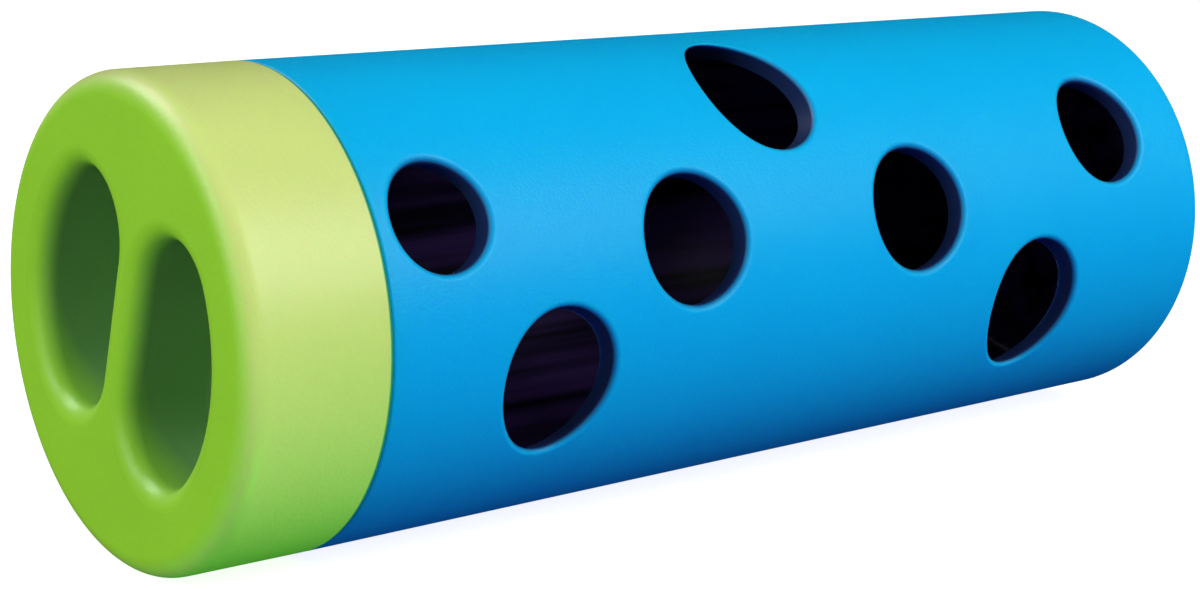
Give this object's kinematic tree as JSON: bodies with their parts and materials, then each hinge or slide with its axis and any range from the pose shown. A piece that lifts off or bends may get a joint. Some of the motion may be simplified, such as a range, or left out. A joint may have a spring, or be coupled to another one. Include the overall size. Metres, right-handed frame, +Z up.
{
  "type": "treat dispensing roller",
  "caption": "Perforated tube with a closed end and a soft pull-off grip cap; treats loaded inside drop out of the round holes as it rolls.",
  "frame": {"origin": "middle of the length, on the rest line under the tube's axis", "axes": "+X along the tube from the cap to the closed end, +Z up, -Y to the side with the pictured holes"},
  "size_m": [0.162, 0.06, 0.06],
  "materials": {
    "tube_blue": "fine satin moulded plastic",
    "cap_green": "soft matte thermoplastic rubber",
    "core_green": "plain moulded plastic"
  },
  "bodies": {
    "tube": {"tube_shell": "tube_blue"},
    "cap": {"end_cap": "cap_green", "cap_core": "core_green"}
  },
  "joints": [
    {"name": "cap_pull", "type": "slide", "parent": "tube", "child": "cap", "axis": [-1, 0, 0], "range_m": [0, 0.06]}
  ]
}
